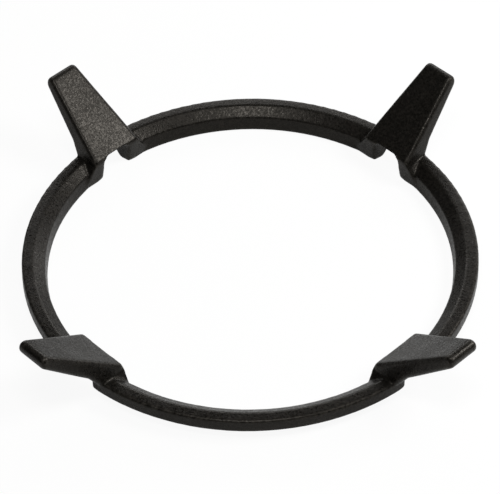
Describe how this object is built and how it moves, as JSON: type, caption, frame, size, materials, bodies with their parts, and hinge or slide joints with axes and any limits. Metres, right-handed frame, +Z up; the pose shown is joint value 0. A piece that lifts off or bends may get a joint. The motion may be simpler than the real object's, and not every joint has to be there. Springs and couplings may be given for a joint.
{
  "type": "wok ring",
  "caption": "Cast iron ring that sits on a cooker's pan support; sloping lugs round it cradle a round-bottomed wok, and a slot under each lug straddles a finger of the support.",
  "frame": {"origin": "centre of the ring on the plane that it stands on", "axes": "+Z up along the ring's axis, +X and +Y each along the centre line of a lug"},
  "size_m": [0.273, 0.273, 0.0433],
  "materials": {
    "cast_iron": "rough matt black casting"
  },
  "bodies": {
    "root": {"wok_ring": "cast_iron"}
  },
  "joints": []
}
